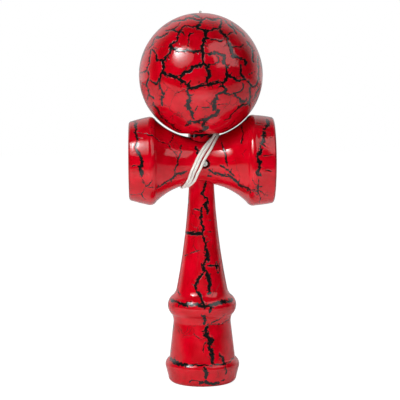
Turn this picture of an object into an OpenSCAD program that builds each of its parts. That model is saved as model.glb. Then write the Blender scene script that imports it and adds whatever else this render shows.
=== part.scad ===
// Cup and ball toy of the spiked kind: a turned handle with a spike and a base cup, a cross cup with a
// large and a small cup, and a drilled ball that is tied to the handle by a string.
// The ball sits on the spike and the string is wound round the cross cup's waist.
// Millimetres, +Z up. The origin is the centre of the base rim that the toy stands on.

/* [Ball] */
// Diameter of the ball
ball_d = 61; // [54:0.5:61.5]
// Diameter of the bore that takes the spike
bore_d = 18; // [16:0.5:22]
// Width of the bevel at the mouth of the bore
mouth_bevel = 1.8; // [1.4:0.1:2.4]
// Diameter of the string hole at the top of the ball
ball_hole_d = 2.4; // [2.2:0.1:4]
// Radius of the rounded mouth of the string hole
ball_hole_round = 2.5; // [2:0.1:2.6]
// Height of the ball's mouth over the cross cup's waist, where the string passes
ball_rest = 2.3; // [2.2:0.1:5]
// Room between the spike's tip and the bead inside the ball
tip_room = 6; // [5:0.5:8]

/* [Handle] */
// Outside diameter of the flat rim that the handle stands on
rim_d = 28.4; // [27:0.2:32]
// Radius of the rounded edge round the foot
foot_edge = 2.9; // [1.5:0.1:3.4]
// Diameter of the base cup at its rim
base_cup_d = 26.2; // [22:0.2:26.6]
// Depth of the base cup
base_cup_depth = 7; // [5:0.5:9]
// Largest diameter of the rounded lip above the foot
lip_d = 37; // [34:0.2:42]
// Height of the middle of the lip
lip_z = 8.8; // [7:0.2:11]
// Radius of the lip's rounding
lip_round = 4; // [3:0.1:4.6]
// Diameter of the lower body just above the lip
body_d = 32.8; // [30:0.2:34]
// Diameter at the neck, where the lower body is thinnest
neck_d = 28.6; // [24:0.2:30]
// Height of the neck
neck_z = 30.6; // [26:0.2:40]
// Largest diameter of the bead ring
ring_d = 34.2; // [31:0.2:38]
// Radius of the bead ring's rounding
ring_round = 6.2; // [5:0.1:8]
// Half of the bead ring's height
ring_half = 4.6; // [3:0.1:4.8]
// Height of the hollow between the neck and the bead ring
cove_h = 3.4; // [2:0.1:6]
// Height of the flare between the bead ring and the stem
flare_h = 3.4; // [2.6:0.1:6]
// Diameter of the stem at its foot
stem_foot_d = 25.5; // [20:0.1:28]
// Diameter of the stem where it enters the cross cup
stem_top_d = 12.4; // [12:0.1:14]
// How far the stem's side curves in from a straight taper
stem_curve = 1; // [0.6:0.02:2]
// Diameter of the spike where it leaves the cross cup
spike_d = 11.7; // [10.5:0.1:12]
// Length of the spike above the cross cup's waist
spike_len = 34; // [28:0.5:38]
// Diameter of the spike just under its rounded tip
tip_d = 6.6; // [5:0.1:8]

/* [Cross cup] */
// Height of the cross cup's axis
cross_z = 110.6; // [100:0.2:120]
// Length of the cross cup from rim to rim
cross_len = 71.6; // [66:0.2:78]
// Diameter of the waist that the string is wound on
waist_d = 22.6; // [20:0.2:24]
// Length of the straight waist on the small cup's side
waist_small = 4; // [3:0.1:5]
// Length of the straight waist on the large cup's side
waist_big = 3; // [2:0.1:4]
// Radius of the hollow flanks between the waist and the cups
flank_r = 32; // [20:0.5:36]
// Largest diameter of the large cup's shoulder
big_shoulder_d = 44.8; // [43:0.2:45]
// Outside diameter of the large cup at its rim
big_rim_d = 42.8; // [40:0.2:44.4]
// Diameter of the large cup's hollow at its rim
big_cup_d = 38; // [32:0.2:38.4]
// Depth of the large cup
big_cup_depth = 10; // [8:0.5:12]
// Largest diameter of the small cup's shoulder
small_shoulder_d = 43.4; // [41:0.2:45]
// Outside diameter of the small cup at its rim
small_rim_d = 39.4; // [37:0.2:42]
// Diameter of the small cup's hollow at its rim
small_cup_d = 34.4; // [28:0.2:34.8]
// Depth of the small cup
small_cup_depth = 9; // [7:0.5:11]
// Width of the band between a cup's shoulder and its rim
band_w = 9.3; // [7:0.1:12]
// Radius of the rounded outer edge of both rims
rim_edge = 1.5; // [0.8:0.1:1.8]
// Diameter of the string holes in the front and back of the cross cup
cross_hole_d = 4.3; // [4:0.1:5]

/* [String] */
// Diameter of the string
string_d = 1.4; // [1.2:0.05:1.5]
// Turns that the string makes round the waist
turns = 3; // [2:1:3]
// Diameter of the string hole through the handle
handle_hole_d = 2.2; // [2.1:0.1:2.6]
// Sideways place of the string hole
hole_x = 1.5; // [1:0.1:1.8]
// Height of the string hole under the cross cup's axis
hole_drop = 1; // [0.5:0.1:2]
// Diameter of the stop knots
knot_d = 3.4; // [3:0.1:3.6]
// Length of the stop knots
knot_len = 3; // [2.4:0.1:3.4]
// Diameter of the bead that holds the string inside the ball
bead_d = 9; // [7:0.5:11]
// Height of the bead
bead_h = 7; // [6:0.5:8]

/* [Hidden] */
$fn = 96;

lacquer = "firebrick";
cotton = "ivory";
eps = 0.01;
// Clearance of the tapered seat between the handle and the cross cup
seat_gap = 0.06;
// Clearance of the string to the pieces that it lies on or passes through
lay_gap = 0.3;
// Clearance between neighbouring turns of the string
turn_gap = 0.5;
// Clearance between pieces that move past each other
run_gap = 0.3;

string_r = string_d / 2;
waist_r = waist_d / 2;
spike_r = spike_d / 2;
stem_top_r = stem_top_d / 2;
half_len = cross_len / 2;
saddle_z = cross_z + waist_r;
seat_z = cross_z - waist_r;
hole_z = cross_z - hole_drop;
tip_z = saddle_z + spike_len;
tip_round = 2.3;
spike_bow = 0.5;
tip_bow = 0.75;

mouth_r = bore_d / 2 + mouth_bevel;
mouth_z = saddle_z + ball_rest;
ball_r = ball_d / 2;
ball_z = mouth_z + sqrt(ball_r * ball_r - mouth_r * mouth_r);
ball_top_z = ball_z + ball_r;
bead_z = tip_z + tip_room;
bore_top_z = bead_z + bead_h + run_gap;

// Points on a circle from angle a to angle b
function arc(centre, radius, a, b, steps) =
    [for (i = [0:steps]) centre + radius * [cos(a + (b - a) * i / steps), sin(a + (b - a) * i / steps)]];

// Signed radius of the arc over a chord that bulges to the left of p to q by rise
function bow_radius(p, q, rise) = (norm(q - p) * norm(q - p) / 4 + rise * rise) / (2 * rise);
function left_of(p, q) = [p[1] - q[1], q[0] - p[0]] / norm(q - p);
function bow_centre(p, q, rise) = (p + q) / 2 + left_of(p, q) * (rise - bow_radius(p, q, rise));
function turned(v, a) = [v[0] * cos(a) - v[1] * sin(a), v[0] * sin(a) + v[1] * cos(a)];
// Points of that arc from p up to, but without, q
function bow(p, q, rise, steps) =
    let (centre = bow_centre(p, q, rise))
    let (sweep = -2 * asin(norm(q - p) / 2 / bow_radius(p, q, rise)))
    [for (i = [0:steps - 1]) centre + turned(p - centre, sweep * i / steps)];
// The rise of an arc of a given radius over the chord p to q
function rise_of(p, q, radius) = radius - sqrt(radius * radius - norm(q - p) * norm(q - p) / 4);

// A spherical hollow, its mouth on z = 0 and its depth along +Z
module dish(mouth_d, depth) {
    radius = (mouth_d * mouth_d / 4 + depth * depth) / (2 * depth);
    translate([0, 0, depth - radius]) sphere(radius);
}

// Handle: foot, lip, lower body, bead ring, stem, tapered seat and spike in one turned profile
lip_centre = [lip_d / 2 - lip_round, lip_z];
lip_low = -18;
lip_high = acos((body_d / 2 - lip_centre[0]) / lip_round);
ring_z = neck_z + cove_h + ring_half;
ring_centre = [ring_d / 2 - ring_round, ring_z];
ring_a = asin(ring_half / ring_round);
ring_end_r = ring_centre[0] + ring_round * cos(ring_a);
neck = [neck_d / 2, neck_z];
ring_low = [ring_end_r, ring_z - ring_half];
ring_top = [ring_end_r, ring_z + ring_half];
stem_foot = [stem_foot_d / 2, ring_z + ring_half + flare_h];
stem_top = [stem_top_r, seat_z];
spike_foot = [spike_r, saddle_z];
tip_edge = [tip_d / 2, tip_z - tip_round];
cove_rise = 0.15;
flare_rise = 0.35;

handle_profile = concat(
    [[0, 0]],
    arc([rim_d / 2, foot_edge], foot_edge, -90, 0, 8),
    arc(lip_centre, lip_round, lip_low, lip_high, 12),
    bow(neck, ring_low, cove_rise, 8),
    arc(ring_centre, ring_round, -ring_a, ring_a, 16),
    bow(ring_top, stem_foot, flare_rise, 6),
    bow(stem_foot, stem_top, stem_curve, 24),
    [stem_top],
    bow(spike_foot, tip_edge, -spike_bow, 12),
    bow(tip_edge, [0, tip_z], -tip_bow, 8),
    [[0, tip_z]]);

// A hole along Y at the string hole's place
module string_hole(d, from_y, to_y) {
    translate([hole_x, from_y, hole_z]) rotate([-90, 0, 0]) cylinder(d = d, h = to_y - from_y);
}

module spike_handle() {
    color(lacquer) difference() {
        rotate_extrude() polygon(handle_profile);
        dish(base_cup_d, base_cup_depth);
        string_hole(handle_hole_d, -stem_top_d, stem_top_d);
    }
}

// Cross cup: two cups back to back on a hollow-flanked waist, turned about X.
// Profile points are [radius, place along X].
shoulder_w = 4.2;
shoulder_drop = 1.65;
shoulder_rise = 0.8;
band_rise = 0.12;
function shoulder_in(d, side) = [d / 2 - shoulder_drop, side * (half_len - band_w - shoulder_w)];
function shoulder_out(d, side) = [d / 2, side * (half_len - band_w)];
function rim_out(d, side) = [d / 2, side * (half_len - rim_edge)];
big_waist = [waist_r, waist_big];
small_waist = [waist_r, -waist_small];
big_flank_rise = rise_of(big_waist, shoulder_in(big_shoulder_d, 1), flank_r);
small_flank_rise = rise_of(small_waist, shoulder_in(small_shoulder_d, -1), flank_r);

cross_profile = concat(
    [[0, -half_len]],
    arc([small_rim_d / 2 - rim_edge, rim_edge - half_len], rim_edge, -90, 0, 6),
    bow(rim_out(small_rim_d, -1), shoulder_out(small_shoulder_d, -1), -band_rise, 4),
    bow(shoulder_out(small_shoulder_d, -1), shoulder_in(small_shoulder_d, -1), -shoulder_rise, 8),
    bow(shoulder_in(small_shoulder_d, -1), small_waist, small_flank_rise, 14),
    [small_waist],
    bow(big_waist, shoulder_in(big_shoulder_d, 1), big_flank_rise, 14),
    bow(shoulder_in(big_shoulder_d, 1), shoulder_out(big_shoulder_d, 1), -shoulder_rise, 8),
    bow(shoulder_out(big_shoulder_d, 1), rim_out(big_rim_d, 1), -band_rise, 4),
    arc([big_rim_d / 2 - rim_edge, half_len - rim_edge], rim_edge, 0, 90, 6),
    [[0, half_len]]);

// Radius of the tapered seat at a height
function seat_r(z) = stem_top_r + (spike_r - stem_top_r) * (z - seat_z) / (saddle_z - seat_z);

module cross_cup() {
    seat_low = seat_z - waist_r;
    seat_high = saddle_z + waist_r;
    color(lacquer) difference() {
        translate([0, 0, cross_z]) rotate([0, 90, 0]) difference() {
            rotate_extrude() polygon(cross_profile);
            translate([0, 0, -half_len]) dish(small_cup_d, small_cup_depth);
            translate([0, 0, half_len]) rotate([180, 0, 0]) dish(big_cup_d, big_cup_depth);
        }
        translate([0, 0, seat_low])
            cylinder(h = seat_high - seat_low, r1 = seat_r(seat_low) + seat_gap,
                     r2 = seat_r(seat_high) + seat_gap);
        string_hole(cross_hole_d, -waist_d, waist_d);
    }
}

// Ball: a sphere with a bevelled bore for the spike and a round-mouthed string hole on top
hole_mouth_r = ball_hole_d / 2 + ball_hole_round;
hole_mouth_z = ball_z + sqrt(ball_r * ball_r - hole_mouth_r * hole_mouth_r);
hole_profile = concat(
    [[0, bore_top_z - eps], [ball_hole_d / 2, bore_top_z - eps]],
    arc([hole_mouth_r, hole_mouth_z - ball_hole_round], ball_hole_round, 180, 90, 8),
    [[hole_mouth_r, ball_top_z + 1], [0, ball_top_z + 1]]);

module ball() {
    bevel_low = mouth_z - mouth_bevel;
    color(lacquer) difference() {
        translate([0, 0, ball_z]) sphere(d = ball_d);
        translate([0, 0, ball_z - ball_r]) cylinder(d = bore_d, h = bore_top_z - ball_z + ball_r);
        translate([0, 0, bevel_low])
            cylinder(h = 2 * mouth_bevel, r1 = mouth_r + mouth_bevel, r2 = bore_d / 2);
        rotate_extrude() polygon(hole_profile);
    }
}

// Winding: the angle runs from the top of the waist (0) over its front (90) and its underside (180).
// Turn k lies in lane 1, 0 and then -1, and changes lane on the waist's back.
lane_w = 2.3;
lane_spread = 0.25;
top_lane_w = (string_d + turn_gap) / 2;
stack_h = string_d + turn_gap;
wrap_start = -45;
wrap_end = 360 * turns - 140;
wrap_step = 15;
lane_from = 190;
lane_span = 160;
top_x = spike_r + lay_gap + string_r + top_lane_w;
low_x = -stem_top_r - lay_gap - string_r - lane_w - lane_spread;
front_x = -2;
back_x = -1.7;
ripple = 1;

function smooth(t) = let (c = min(1, max(0, t))) c * c * (3 - 2 * c);
function lane(a) = 1 - floor(a / 360) - smooth((a - 360 * floor(a / 360) - lane_from) / lane_span);
// Place along X of the middle lane, from the four places that it passes through
function middle_x(a) =
    let (swing = (top_x - low_x) / 2 - ripple)
    let (mean = (top_x + low_x + front_x + back_x) / 4)
    let (twice = (top_x + low_x - front_x - back_x) / 4)
    mean + swing * cos(a) + ripple * cos(3 * a) + twice * cos(2 * a) + (front_x - back_x) / 2 * sin(a);
// 1 at the top, where the lanes draw together beside the spike, and 0 from 60 degrees away
function crowd(a) = smooth(1 - abs(a - 360 * round(a / 360)) / 60);
function wrap_x(a) =
    let (u = lane(a))
    let (wide = lane_w + lane_spread * max(0, u))
    middle_x(a) + u * (wide + (top_lane_w - wide) * crowd(a));
// Radius of the cross cup's flank at a place along X
function flank_at(p, q, rise, x) =
    let (centre = bow_centre(p, q, rise))
    centre[0] - sqrt(max(0, pow(bow_radius(p, q, rise), 2) - pow(x - centre[1], 2)));
function waist_at(x) =
    x > waist_big ? flank_at(big_waist, shoulder_in(big_shoulder_d, 1), big_flank_rise, x) :
    x < -waist_small ? flank_at(shoulder_in(small_shoulder_d, -1), small_waist, small_flank_rise, x) :
    waist_r;
// The middle lane is lifted over its neighbours where they draw together
function lift(a) =
    let (u = lane(a), c = crowd(a))
    stack_h * (1 - (1 - c) * (1 - c)) * max(0, 1 - u * u);
// How much longer a distance square to the flank is along the radius
function flank_lean(x) = norm([1, (waist_at(x + string_r) - waist_at(x - string_r)) / string_d]);
function wrap(a) =
    let (x = wrap_x(a), r = waist_at(x) + (lay_gap + string_r) * flank_lean(x) + lift(a))
    [x, -r * sin(a), cross_z + r * cos(a)];
function unit(v) = v / norm(v);
function wrap_way(a) = unit(wrap(a + 1) - wrap(a - 1));

// A smooth curve from p to q, leaving along p_way and arriving along q_way, without its ends
function ease(p, p_way, q, q_way, reach, steps) =
    let (b = p + p_way * reach, c = q - q_way * reach)
    [for (i = [1:steps - 1]) let (t = i / steps, s = 1 - t)
        s * s * s * p + 3 * s * s * t * b + 3 * s * t * t * c + t * t * t * q];

// Where the string leaves the back hole, and where the winding hands over to the riser
knot_back_y = -sqrt(pow(seat_r(hole_z), 2) - hole_x * hole_x) - lay_gap;
hole_out = [hole_x, waist_r, hole_z];
hole_way = [0, 1, 0];
hand_over = 0.05;
riser_start = [-7, 13, 108];
riser_way = unit([0.1, 0.45, 0.9]);

winding_path = concat(
    [[hole_x, knot_back_y, hole_z], [hole_x, knot_back_y + string_d, hole_z], [hole_x, 0, hole_z], hole_out],
    ease(hole_out, hole_way, wrap(wrap_start), wrap_way(wrap_start), 6, 8),
    [for (a = [wrap_start:wrap_step:wrap_end]) wrap(a)],
    ease(wrap(wrap_end), wrap_way(wrap_end), riser_start - riser_way * string_d, riser_way, 3, 4),
    [riser_start - riser_way * string_d, riser_start]);

// A tube swept along a path as one closed surface, with its rings kept from twisting
function ways(path) =
    let (last = len(path) - 1)
    [for (i = [0:last]) unit(path[min(last, i + 1)] - path[max(0, i - 1)])];
function square_to(v, way) = unit(v - (v * way) * way);
function normals(way) =
    let (first = abs(way[0][2]) < 0.9 ? [0, 0, 1] : [1, 0, 0])
    [for (i = 0, n = square_to(first, way[0]); i < len(way);
          i = i + 1, n = i < len(way) ? square_to(n, way[i]) : n) n];

module tube(path, d, sides) {
    way = ways(path);
    normal = normals(way);
    last = len(path) - 1;
    points = [for (i = [0:last], j = [0:sides - 1])
        path[i] + d / 2 * (cos(360 * j / sides) * normal[i] + sin(360 * j / sides) * cross(way[i], normal[i]))];
    side_faces = [for (i = [0:last - 1], j = [0:sides - 1])
        let (a = i * sides + j, b = i * sides + (j + 1) % sides)
        each [[a, b + sides, b], [a, a + sides, b + sides]]];
    start_face = [for (j = [1:sides - 2]) [0, j, j + 1]];
    end_face = [for (j = [1:sides - 2]) [0, j + 1, j] + last * sides * [1, 1, 1]];
    polyhedron(points, concat(start_face, side_faces, end_face), convexity = 10);
}

// Least clear distance between points of a path that lie over 4 diameters apart along it
function runs(path) =
    [for (i = 0, s = 0; i < len(path); i = i + 1, s = s + (i < len(path) ? norm(path[i] - path[i - 1]) : 0)) s];
function least_gap(path, d) =
    let (s = runs(path))
    min([for (i = [0:len(path) - 1], j = [i + 1:1:len(path) - 1])
        if (s[j] - s[i] > 4 * d) norm(path[j] - path[i])]) - d;
function length_of(path) = let (s = runs(path)) s[len(s) - 1];

module string_winding() {
    echo(winding_least_gap = least_gap(winding_path, string_d), winding_length = length_of(winding_path));
    color(cotton) tube(winding_path, string_d, 6);
}

// Riser: from the waist's back up behind the ball, over its top and down its string hole to the bead.
// Points are [x, y, z].
riser_points = [
    riser_start + riser_way * hand_over,
    riser_start + riser_way * string_d,
    [-5.5, 18.5, 120.5],
    [-4.5, 23.5, 130],
    [-3.5, 27.8, 138],
    [-2.5, 30.8, 146],
    [-1.5, 31.5, 154],
    [-0.8, 30.2, 162],
    [-0.4, 27.2, 169],
    [-0.2, 23, 174.5],
    [0, 17.5, 179],
    [0, 11.5, 182.2],
    [0, 7, 183.4],
    [0, 4, 183.9],
    [0, 2.2, 183.6],
    [0, 0.75, 182.55],
    [0, 0.15, 181],
    [0, 0, 179],
    [0, 0, bead_z + knot_len]];

module string_riser() {
    echo(riser_length = length_of(riser_points));
    color(cotton) tube(riser_points, string_d, 8);
}

// A stop knot as a rounded barrel with flat ends, its string end on z = 0 and its length along -Z
module knot() {
    flat_r = string_d / 2 + 0.1;
    edge = [[flat_r, -knot_len], [flat_r, 0]];
    rotate_extrude() polygon(concat(
        [[0, -knot_len]],
        bow(edge[0], edge[1], flat_r - knot_d / 2, 12),
        [edge[1], [0, 0]]));
}

module handle_knot() {
    color(cotton) translate([hole_x, knot_back_y, hole_z]) rotate([-90, 0, 0]) knot();
}

module bead_knot() {
    color(cotton) translate([0, 0, bead_z + knot_len]) knot();
}

// Bead: a short drilled ball with a pocket underneath that takes the knot
module bead() {
    face_d = knot_d + 2;
    rise = (bead_d - face_d) / 2;
    low = [face_d / 2, 0];
    high = [face_d / 2, bead_h];
    color("burlywood") translate([0, 0, bead_z]) difference() {
        rotate_extrude() polygon(concat([[0, 0]], bow(low, high, -rise, 16), [high, [0, bead_h]]));
        translate([0, 0, -eps]) cylinder(d = knot_d + 2 * lay_gap, h = knot_len + eps);
        cylinder(d = string_d + 2 * lay_gap, h = bead_h + eps);
    }
}

spike_handle();
cross_cup();
ball();
string_winding();
string_riser();
bead();
handle_knot();
bead_knot();
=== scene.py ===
"""Cup and ball toy in crackled red lacquer over black, with a white string wound round its waist.

The lacquered pieces are turned from the same profiles as the frame's solids, on meshes fine enough to
carry a crack field. Sizes are in millimetres until a mesh is made, and MM turns them into metres.
"""

import math

import bpy
import numpy as np
from mathutils import Matrix, Vector, kdtree, noise


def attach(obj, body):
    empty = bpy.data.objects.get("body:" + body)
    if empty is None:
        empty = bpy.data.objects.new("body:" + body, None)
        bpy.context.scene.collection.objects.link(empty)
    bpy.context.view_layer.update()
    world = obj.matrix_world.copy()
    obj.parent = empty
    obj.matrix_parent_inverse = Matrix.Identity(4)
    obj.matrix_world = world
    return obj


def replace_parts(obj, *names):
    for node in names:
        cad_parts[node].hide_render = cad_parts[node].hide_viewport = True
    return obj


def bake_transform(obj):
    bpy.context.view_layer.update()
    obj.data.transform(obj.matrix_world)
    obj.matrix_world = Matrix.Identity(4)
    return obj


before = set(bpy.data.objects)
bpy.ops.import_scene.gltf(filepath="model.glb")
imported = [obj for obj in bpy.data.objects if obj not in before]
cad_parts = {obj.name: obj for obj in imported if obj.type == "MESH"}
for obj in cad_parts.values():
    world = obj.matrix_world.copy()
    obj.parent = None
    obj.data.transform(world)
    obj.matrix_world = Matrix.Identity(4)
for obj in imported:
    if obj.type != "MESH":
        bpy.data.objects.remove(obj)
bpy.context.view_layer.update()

MM = 0.001
SEED = 7
# Spacing of the vertices along and round the lacquered pieces
GRID = 0.36
# Spacing on surfaces that are hidden or plain
COARSE = 1.2
FRONT_CROWDING = 0.35

# Camera: the photograph is 400 pixels wide
CAMERA_DISTANCE = 700
CAMERA_AZIMUTH = -1.75
CAMERA_ELEVATION = 5
CAMERA_ROLL = -0.3
CAMERA_ORBIT = np.array([0, 0, 92])
CAMERA_AIM = np.array([-0.75, 0, 91])
LENS, SENSOR_W = 126.9, 36

# Handle
RIM_D, FOOT_EDGE = 28.4, 2.9
BASE_CUP_D, BASE_CUP_DEPTH = 26.2, 7
LIP_D, LIP_Z, LIP_ROUND, LIP_LOW = 37, 8.8, 4, -18
BODY_D = 32.8
NECK_D, NECK_Z = 28.6, 30.6
RING_D, RING_ROUND, RING_HALF = 34.2, 6.2, 4.6
COVE_H, COVE_RISE = 3.4, 0.15
FLARE_H, FLARE_RISE = 3.4, 0.35
STEM_FOOT_D, STEM_TOP_D, STEM_CURVE = 25.5, 12.4, 1
SPIKE_D, SPIKE_LEN, SPIKE_BOW = 11.7, 34, 0.5
TIP_D, TIP_ROUND, TIP_BOW = 6.6, 2.3, 0.75

# Cross cup, turned about X: the small cup is at -X and the big cup at +X
CROSS_Z, CROSS_LEN = 110.6, 71.6
WAIST_D, WAIST_SMALL, WAIST_BIG = 22.6, 4, 3
FLANK_R = 32
BIG_SHOULDER_D, BIG_RIM_D, BIG_CUP_D, BIG_CUP_DEPTH = 44.8, 42.8, 38, 10
SMALL_SHOULDER_D, SMALL_RIM_D, SMALL_CUP_D, SMALL_CUP_DEPTH = 43.4, 39.4, 34.4, 9
BAND_W, BAND_RISE, RIM_EDGE = 9.3, 0.12, 1.5
SHOULDER_W, SHOULDER_DROP, SHOULDER_RISE = 4.2, 1.65, 0.8
CROSS_HOLE_D = 4.3
SEAT_GAP = 0.06

# Ball
BALL_R = 30.5
BORE_R, MOUTH_BEVEL = 9, 1.8
BALL_HOLE_R, BALL_HOLE_ROUND = 1.2, 2.5
BALL_REST, TIP_ROOM = 2.3, 6
BEAD_H, RUN_GAP = 7, 0.3

# String
STRING_R, STRING_LEN = 0.66, 387
HANDLE_HOLE_D, HOLE_X, HOLE_DROP = 2.2, 1.5, 1
KNOT_LEN = 3
LAY_GAP = 0.2

# Heights and radii that follow from those sizes
WAIST_R, HALF_LEN = WAIST_D / 2, CROSS_LEN / 2
SEAT_Z, SADDLE_Z = CROSS_Z - WAIST_R, CROSS_Z + WAIST_R
STEM_TOP_R, SPIKE_R = STEM_TOP_D / 2, SPIKE_D / 2
TIP_Z = SADDLE_Z + SPIKE_LEN
HOLE_Z = CROSS_Z - HOLE_DROP
MOUTH_R, MOUTH_Z = BORE_R + MOUTH_BEVEL, SADDLE_Z + BALL_REST
BALL_Z = MOUTH_Z + math.sqrt(BALL_R**2 - MOUTH_R**2)
BEAD_Z = TIP_Z + TIP_ROOM
BORE_TOP_Z = BEAD_Z + BEAD_H + RUN_GAP

# Cracks on the photographed side, and a few black bands of painted shade among them: (width, points).
# A point is (x, z) as the camera sees it on the plane through the toy's axis, with z from the ball's centre,
# the cross cup's axis or the floor.
BALL_CRACKS_AND_SHADE = [
    (1.1, [(0.5, 26.5), (-2, 23.5), (-1, 22.5), (2.5, 21.5), (3, 18.5), (4, 18), (1, 17.5), (0.5, 12.5)]),
    (1.3, [(0.5, 15), (0.5, 12.5), (1.5, 10.5), (1, 8), (1, 5.5)]),
    (1.2, [(1, 5.5), (3.5, 5), (4, 2), (4.5, 0.5), (3, -1), (3, -4)]),
    (1.3, [(-5.5, -6.5), (-2, -6), (-0.5, -5), (3, -4.5), (6, -4.5), (8, -3.5), (11, -4)]),
    (1.0, [(11, -4), (12.5, -1.5), (13, 0), (12.5, 3.5), (11.5, 6),
           (12, 9.5), (9.5, 10), (7, 11), (4, 10.5)]),
    (0.8, [(-2, 23.5), (-6, 24), (-8, 24.5), (-9.5, 23), (-11, 21.5), (-13.5, 22), (-17.5, 22)]),
    (1.0, [(-11, 21.5), (-11.5, 17), (-14, 16), (-15, 15), (-14, 13.5), (-15.5, 11), (-18.5, 7.5)]),
    (1.3, [(-18.5, 7.5), (-18, 4), (-18.5, 2), (-18, 0.5), (-14.5, -0.5), (-12, -1), (-10.5, -2)]),
    (1.2, [(-10.5, -2), (-9, 0.5), (-6.5, 2), (-2, 4), (-1, 5), (1, 5.5)]),
    (0.9, [(0.5, 12.5), (-1.5, 12), (-7, 12), (-10.5, 12.5), (-13, 12.5), (-14, 13.5)]),
    (0.7, [(-18.5, 7.5), (-21.5, 7), (-22, 10.5), (-22.5, 12.5), (-24, 12.5)]),
    (1.0, [(-18.5, 2), (-20, 0.5), (-20, -6), (-18.5, -9), (-19.5, -11), (-19.5, -14.5)]),
    (0.6, [(-20, -2.5), (-22.5, -4), (-23.5, -4), (-25, -2.5)]),
    (1.2, [(-10.5, -2), (-6, -5), (-5.5, -6.5), (-7, -7.5), (-6, -11),
           (-6.5, -14), (-6, -16.5), (-3.5, -21)]),
    (0.5, [(-9.5, -3), (-9.5, -5.5)]),
    (0.8, [(11, -3.5), (11, -5.5), (12.5, -7), (11.5, -8.5), (7.5, -10)]),
    (1.5, [(7.5, -10), (7, -13), (6.5, -15.5), (6, -17)]),
    (1.5, [(8, -17.5), (7.5, -19.5), (4.5, -21), (1.5, -22), (-1.5, -23), (-5, -23), (-8, -24.5)]),
    (1.7, [(1.5, -22.5), (1.5, -24.5), (2.5, -26), (0.5, -28)]),
    (0.9, [(2.5, 21.5), (5.5, 22), (8.5, 23), (10.5, 25), (10.5, 27)]),
    (1.2, [(9, 22.5), (11.5, 20.5), (13, 18.5), (13.5, 16), (14.5, 14), (15, 12.5), (15.5, 9)]),
    (0.7, [(13, 19), (14.5, 20.5), (16.5, 21)]),
    (1.0, [(17, 9.5), (19.5, 8.5), (21.5, 7.5), (22.5, 6), (21.5, 4.5)]),
    (0.9, [(13, 0), (15, -0.5), (17, -3), (19, -3), (22, -2.5), (23.5, -4), (25, -6)]),
    (0.8, [(19.5, 4.5), (19.5, 2), (20.5, -0.5), (22, -3)]),
    (0.6, [(20.5, -3), (20.5, -6), (19.5, -8), (17.5, -8.5)]),
    (0.6, [(12, -8.5), (14.5, -10), (16, -9), (17, -10)]),
    (1.0, [(17, -10), (19, -11), (19.5, -12.5), (22, -13), (23.8, -14)]),
    (0.9, [(23.5, -14.5), (19.2, -15.1), (16.7, -17.6), (14.9, -20.4)]),
    (0.5, [(14.9, -20.4), (13.5, -21.5), (11.8, -22.3)]),
    (0.4, [(16.7, -22.9), (14.8, -24.4), (11.8, -26.6), (9.5, -27.8)]),
    (0.6, [(-4, -20.5), (-3.1, -22), (-0.6, -23.6)]),
    (0.8, [(-4.5, -28.4), (-2.5, -27.8), (-1, -28.2)]),
    (0.6, [(4, 17.5), (7.5, 17), (9, 16.5), (11, 16.5)]),
    (0.5, [(3.5, 5.5), (7, 6), (9, 7), (9.5, 8), (7, 10)]),
    (0.5, [(-5.8, 21), (-6.3, 18.5), (-5.8, 16.5), (-6, 14.5)]),
    (0.5, [(-5.5, 18.5), (-5, 20.5), (-3, 21)]),
    (0.5, [(-11, 21), (-8.5, 21), (-8, 19.5)]),
    (0.8, [(-24.5, 12.5), (-25, 8), (-26.5, 3), (-25.5, 0.5), (-27, -4.5), (-25.5, -10), (-23, -12)]),
    (0.9, [(-26.5, 2.5), (-28.5, 2), (-29.5, 1.5)]),
    # Painted shade: a black band along the ball's lower left edge, where the gap over the cross cup's left
    # flank lies in shadow
    (1.2, [(-24, -13), (-22, -16.2), (-19, -20.6), (-16.5, -23.6), (-13, -26), (-10.5, -27.4)]),
    (0.4, [(-8.5, -15.5), (-7, -13.5)]),
    (0.3, [(-3, -17), (-1.5, -15.5), (1.5, -15.5), (4.5, -16)]),
    (0.3, [(8, -15), (11, -14), (13.5, -14)]),
    (0.4, [(-12.5, -8.5), (-10.5, -8), (-8.5, -8)]),
    (0.5, [(14.5, 14), (19, 14), (21, 14.5)]),
    (1.1, [(22.5, 16.2), (25.1, 13.2), (25.5, 9.4), (26.1, 6)]),
    (1.1, [(28, 9.4), (28.5, 3.5), (28.6, -2), (27.8, -4.2), (24.9, -5.9), (24.2, -9.7), (24, -15.2)]),
    (1.2, [(14.9, 25.9), (18.3, 22.1), (22.1, 19.1)]),
    (1.0, [(-4.2, 29.4), (-1.6, 28.5), (0.9, 27.2)]),
    (1.1, [(-17.5, 23.5), (-14, 26.5), (-9.5, 26.5), (-6, 28), (0.5, 27)]),
    (0.6, [(-13, 22.5), (-9.5, 26)]),
    (1.1, [(0.5, 27), (3, 28), (5.5, 26.5), (10.5, 27.5)]),
    (1.0, [(11.5, 27), (15.5, 23.5), (17.5, 20)]),
    (0.8, [(-24.5, 14), (-22, 18.5), (-19, 19), (-16, 21)]),
    (1.2, [(-17, 9.5), (-18.5, 7), (-18.3, 4), (-18.5, 1)]),
    (0.6, [(-29.2, -3.9), (-27, -4.8), (-25.8, -9.4), (-26.2, -12.6)]),
    (0.9, [(29.2, -4.4), (27.4, -8.6), (25.3, -12.4)]),
    (0.5, [(23.5, 0), (26, 1.6)]),
    (0.5, [(-26.5, 12), (-24.5, 13.5), (-22.2, 18.5)]),
]
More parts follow.
